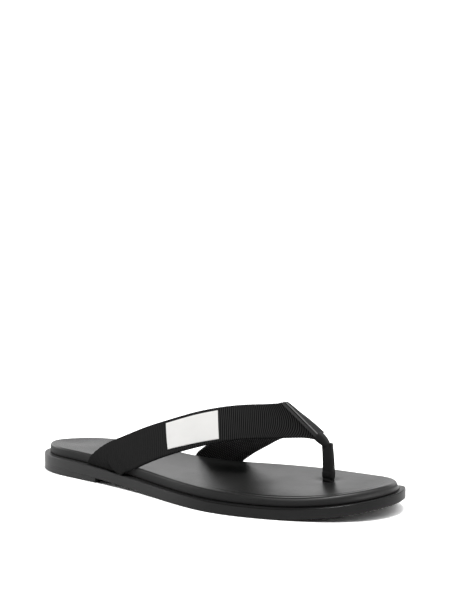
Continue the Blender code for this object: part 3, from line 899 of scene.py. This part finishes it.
def strap_mesh(rows, ribs):
    """Points, faces and UVs of one ribbed strap."""
    count, place, share = webbing_grid(rows, ribs)
    outer, normal = strap_grid(rows, place, share)
    if rows is LATERAL:
        outer = outer + normal * folded(place, share)[:, :, None]
    rib = RIB_HEIGHT * (np.sin(np.pi * (count - np.floor(count))) ** RIB_POWER - 1)
    wall = strap_wall(place, len(rows) - 1)[:, :, None]
    front_face = outer + normal * rib[:, None, None]
    back_face = outer - normal * (wall + rib[:, None, None])
    middle = (front_face + back_face) / 2
    across = outer[:, -1] - outer[:, 0]
    across /= np.maximum(np.linalg.norm(across, axis=1), TINY)[:, None]
    edge = (across * (EDGE_OUT + EDGE_RIB * rib)[:, None])[:, None]
    front_edge = middle[:, -1:] + edge
    rear_edge = (middle + front_face)[:, :1] / 2 - edge
    loops = np.concatenate((front_face, front_edge, back_face[:, ::-1], rear_edge), axis=1)
    lines, around = loops.shape[:2]
    width = np.linalg.norm(outer[:, 1:] - outer[:, :-1], axis=2)
    along = np.concatenate((np.zeros((lines, 1)), np.cumsum(width, axis=1)), axis=1)
    v = np.concatenate((along, along[:, -1:], along[:, ::-1], along[:, :1]), axis=1)
    u = np.repeat(count[:, None], around, axis=1)
    u[:, ACROSS_STEPS + 2:-1] += INSIDE_COUNT
    faces = closed_tube(lines, around)
    if rows is LATERAL:
        faces = flipped(faces)
    return loops.reshape(-1, 3), faces, np.stack((u, v), axis=2).reshape(-1, 2)


def build_straps():
    points, faces, uv = [], [], []
    for rows, ribs in ((LATERAL, LATERAL_RIBS), (MEDIAL, MEDIAL_RIBS)):
        start = sum(len(p) for p in points)
        p, f, t = strap_mesh(rows, ribs)
        points.append(p)
        uv.append(t)
        faces += [tuple(i + start for i in face) for face in f]
    piece = make("strap_webbing", np.vstack(points), faces, WEBBING, np.vstack(uv))
    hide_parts("upper")


def build_label():
    """A thin rectangle of cloth on the outer strap, with its place left bare."""
    row, rear, front = np.linspace(*LABEL_ENDS, LABEL_STEPS + 1).T[:, :, None]
    share = rear + (front - rear) * np.linspace(0, 1, LABEL_ACROSS + 1)
    outer, normal = strap_grid(LATERAL, row + np.zeros_like(share), share)
    top, low = outer + normal * LABEL_TOP, outer + normal * LABEL_UNDER
    loops = np.concatenate((top, low[:, ::-1]), axis=1)
    faces = flipped(closed_tube(*loops.shape[:2]))
    piece = make("bare_label", loops.reshape(-1, 3), faces, LABEL)
    bevel = piece.modifiers.new("Edge", "BEVEL")
    bevel.width = 0.00018
    bevel.segments = 2
    bevel.limit_method = "ANGLE"
    bevel.angle_limit = math.radians(50)
    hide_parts("side_label")


# ---------------------------------------------------------- ridge binding, toe post
BINDING_STEPS = 60
BINDING_CUT = 1.15        # the slant of the binding's rear end
CUT_STEPS = 5             # which is gone after this many steps
ARCH_STEPS = 33
# The rest of its cross-section: the sides in half widths, and the hollow in millimetres.
ARCH_OUTER = ((-1.0, -1.2), (-1.04, -0.6))
ARCH_INNER = ((1.03, -0.6), (1.0, -1.2))
BINDING_HOLLOW = ((1.9, -1.2), (1.9, 0.2), (-1.9, 0.2), (-1.9, -1.2))
TAIL_STEPS, TAIL_AROUND = 30, 36
TAIL_POWER = 0.7
SLEEVE_STEPS, SLEEVE_AROUND = 110, 72
SLEEVE_POWER = 0.5
# The rounded rim of the sleeve's open top: height over the last section, and inset.
SLEEVE_RIM = ((0.18, 0.1), (0.26, SLEEVE_WALL / 2), (0.18, SLEEVE_WALL - 0.1))
SLEEVE_EVEN = (1, 2, 3, 2, 1)         # weights that even out the sleeve's sections
WAVE_HEIGHT, WAVE_START = 0.5, 0.6    # its creases rise and fall twice round it
CORNER_AT, CORNER_HALF = 309.0, 9.0   # degrees round it: a fold in its upper part
CORNER_DEPTH, CORNER_FROM, CORNER_RUN = 0.32, 27.5, 3.0


def arch():
    """The binding's cross-section: a bead on the outer side, then a hollow up to the
    inner edge. Distance across in half widths, and height over the ridge."""
    knots = np.arange(len(BINDING_TOP))
    curve = spline(knots, BINDING_TOP, np.linspace(0, knots[-1], ARCH_STEPS + 1))
    return [*ARCH_OUTER, *map(tuple, curve), *ARCH_INNER]


def ridge():
    """The ridge from above: its rear point, its heading and the way across it."""
    rear = (np.array(LATERAL[-1].rear) + np.array(MEDIAL[-1].rear)) / 2
    front = (np.array(LATERAL[-1].front) + np.array(MEDIAL[-1].front)) / 2
    heading = (front - rear)[:2]
    across = np.array([-heading[1], heading[0], 0.0])
    return rear, heading, across / np.linalg.norm(across)


def over_ridge(x, z):
    """Points over the ridge's line at these places and heights."""
    rear, heading, _ = ridge()
    return np.stack((x, rear[1] + (x - rear[0]) * heading[1] / heading[0], z), axis=1)


def binding_rings():
    """Cross-sections of the binding down the ridge, square to it but for the first few."""
    table = np.array(BINDING_RUN, float)
    at = np.linspace(0, len(table) - 1, BINDING_STEPS + 1)
    run = np.stack([np.interp(at, np.arange(len(table)), column) for column in table.T], axis=1)
    across = ridge()[2]
    middles = over_ridge(run[:, 0], run[:, 1])
    slope = middles[-1] - middles[0]
    up = np.cross(slope, across)
    up /= np.linalg.norm(up)
    slope /= np.linalg.norm(slope)
    top = arch()
    rings = []
    for i, (middle, station) in enumerate(zip(middles, map(Station._make, run))):
        section = []
        for a, h in top:
            half = station.inner if a > 0 else station.outer
            lift = station.raised * max(0.0, a) if h > 0 else 0.0
            section.append((a * half, h + lift))
        cut = slope * BINDING_CUT * max(0.0, 1 - i / CUT_STEPS)
        section.extend(BINDING_HOLLOW)
        rings.append([middle + across * a + up * h + cut * h for a, h in section])
    return np.array(rings), [a for a, _ in top] + [0.0] * len(BINDING_HOLLOW)


def tail_rings():
    """Cross-sections of the binding's end on its way down into the sleeve."""
    at = np.linspace(0, len(TAIL) - 1, TAIL_STEPS + 1)
    read = spline(np.arange(len(TAIL)), TAIL, at)
    across = ridge()[2]
    path = over_ridge(read[:, 0], read[:, 1])
    a, h = squared(np.linspace(math.pi, -math.pi, TAIL_AROUND, endpoint=False), TAIL_POWER)
    rings = []
    for i, row in enumerate(map(Tail._make, read)):
        up = np.cross(path[min(i + 1, TAIL_STEPS)] - path[max(i - 1, 0)], across)
        up /= np.linalg.norm(up)
        high = h * np.where(h > 0, row.over, row.under)
        rings.append(path[i] + across * (a * row.half)[:, None] + up * high[:, None])
    return np.array(rings)


def build_binding():
    rings, shares = binding_rings()
    tail = tail_rings()
    start = rings.shape[0] * rings.shape[1]
    faces = closed_tube(*rings.shape[:2]) + closed_tube(*tail.shape[:2], start)
    points = np.vstack((rings.reshape(-1, 3), tail.reshape(-1, 3)))
    uv = np.zeros((len(points), 2))
    uv[:start, 0] = np.tile(shares, len(rings))
    piece = make("ridge_leather", points, faces, BINDING_LEATHER, uv)
    piece.data.set_sharp_from_angle(angle=math.radians(45))
    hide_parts("ridge_binding")


def build_post():
    """The leather sleeve between the toes, open at the top where the binding enters."""
    table = np.array(POST, float)
    z = np.linspace(table[0, 0], table[-1, 0], SLEEVE_STEPS + 1)
    length, width, lean = (np.interp(z, table[:, 0], table[:, k]) for k in (1, 2, 3))
    kernel = np.array(SLEEVE_EVEN) / sum(SLEEVE_EVEN)
    for line in (length, width, lean):
        line[2:-2] = np.convolve(line, kernel, "valid")
    angle = np.linspace(0, 2 * math.pi, SLEEVE_AROUND, endpoint=False)
    x, y = squared(angle, SLEEVE_POWER)
    corner = np.exp(-((angle - math.radians(CORNER_AT)) / math.radians(CORNER_HALF)) ** 2)
    wave = WAVE_HEIGHT * np.cos(angle * 2 + WAVE_START)
    insets = []
    for height in z:
        inset = CORNER_DEPTH * corner * smooth((height - CORNER_FROM) / CORNER_RUN)
        for row in SLEEVE_CREASES:
            inset = inset + row.depth * np.exp(-((height + wave - row.z) / row.half) ** 2)
        insets.append((height, inset))
    insets += [(z[-1] + height, inset) for height, inset in SLEEVE_RIM]
    insets += [(z[-1] - drop, SLEEVE_WALL) for drop in np.linspace(0, SLEEVE_INSIDE, 8)]
    rings = []
    for i, (height, inset) in enumerate(insets):
        k = min(i, SLEEVE_STEPS)
        rings.append(np.stack((
            POST_X - lean[k] + (length[k] - inset) * x, POST_Y + (width[k] - inset) * y,
            np.full(SLEEVE_AROUND, height),
        ), axis=1))
    faces = closed_tube(len(rings), SLEEVE_AROUND)
    piece = make("post_sleeve", np.vstack(rings), faces, SLEEVE_LEATHER)
    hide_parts("toe_post")


build_outsole()
build_heel_lift()
build_footbed()
build_straps()
build_label()
build_binding()
build_post()


# ------------------------------------------------------------ floor, light, camera
FLOOR_HALF = 6.0
FLOOR_LIT, FLOOR_SEEN = 0.97, 1.4    # how it lights the shoe, and how the camera sees it
FRONT = (0.582, -0.813)   # level direction from the shoe to its near side
FRONT_FROM, FRONT_TO = -0.2, 0.5
ROOM_WHITE, ROOM_DARK = 1.45, 0.1
BAND_FROM, BAND_TO, ROOM_HIGH = 0.38, 0.65, 0.1
LOW_TO, ROOM_LOW = 0.2, 0.05         # the room is darker close to the floor
BACKDROP = 1.1            # the background's strength as the camera sees it
Wall = namedtuple("Wall", "sign start full more")
WALLS = (Wall(1, 0.55, 0.9, 1.2), Wall(-1, 0.75, 1.0, 1.5))    # brighter beyond toe and heel
Lamp = namedtuple("Lamp", "name towards angle energy")
LAMPS = (
    Lamp("overhead", (-0.46, -0.06, -1.0), 62.0, 1.85),
    Lamp("key", (-0.2, 0.27, -1.0), 16.0, 1.9),
)
LAMP_PLACE = (0.0, 0.0, 0.8)
LENS = 64.463             # with a sensor 36 mm wide
CAMERA_PLACE = (0.440714, -0.590472, 0.160344)
CAMERA_TURN = (87.643, -0.4858, 35.656)


def build_floor():
    mesh = bpy.data.meshes.new("floor")
    s = FLOOR_HALF
    mesh.from_pydata([(-s, -s, 0), (s, -s, 0), (s, s, 0), (-s, s, 0)], [], [(0, 1, 2, 3)])
    n = Shader("floor_white")
    n.set("Base Color", n.mix(n.camera_ray(), grey(FLOOR_LIT), grey(FLOOR_SEEN)))
    n.set("Roughness", 1.0)
    n.set("Specular IOR Level", 0.0)
    mesh.materials.append(n.material)
    floor = link("floor", mesh)


def build_world():
    """White to the eye, and dimmer on the near side of the shoe as a source of light."""
    world = bpy.data.worlds.new("studio")
    bpy.context.scene.world = world
    world.use_nodes = True
    n = Nodes(world.node_tree)
    towards = n.add("ShaderNodeTexCoord").outputs["Generated"]
    near = n.add("ShaderNodeVectorMath", operation="DOT_PRODUCT")
    n.put(near.inputs[0], towards)
    n.put(near.inputs[1], (*FRONT, 0.0))
    split = n.add("ShaderNodeSeparateXYZ", Vector=towards)
    along, height = split.outputs["X"], split.outputs["Z"]
    factors = [
        (near.outputs["Value"], FRONT_FROM, FRONT_TO, ROOM_WHITE, ROOM_DARK),
        (height, BAND_FROM, BAND_TO, 1.0, ROOM_HIGH),
        (height, 0.0, LOW_TO, ROOM_LOW, 1.0),
    ]
    for wall in WALLS:
        start, full = wall.sign * wall.start, wall.sign * wall.full
        factors.append((along, start, full, 1.0, 1.0 + wall.more))
    strength = 1.0
    for factor in factors:
        strength = n.times(strength, n.ramp(*factor, kind="SMOOTHSTEP"))
    seen = n.add("ShaderNodeMix")
    for i, value in ((0, n.camera_ray()), (2, strength), (3, BACKDROP)):
        n.put(seen.inputs[i], value)
    background = n.tree.nodes["Background"]
    n.put(background.inputs["Strength"], seen.outputs[0])
    n.put(background.inputs["Color"], grey(1.0))


def build_lamp(name, towards, angle, energy):
    data = bpy.data.lights.new(name, "SUN")
    data.angle = math.radians(angle)
    data.energy = energy
    lamp = link(name, data)
    lamp.location = LAMP_PLACE
    lamp.rotation_euler = Vector(towards).to_track_quat("-Z", "Y").to_euler()


def build_camera():
    data = bpy.data.cameras.new("camera")
    data.sensor_width = 36.0
    data.lens = LENS
    data.clip_start, data.clip_end = 0.01, 50.0
    camera = link("camera", data)
    camera.location = CAMERA_PLACE
    camera.rotation_euler = [math.radians(a) for a in CAMERA_TURN]
    bpy.context.scene.camera = camera
    bpy.context.scene.view_settings.view_transform = "Standard"
    bpy.context.scene.view_settings.look = "None"


build_floor()
build_world()
for lamp in LAMPS:
    build_lamp(*lamp)
build_camera()

bpy.context.view_layer.update()
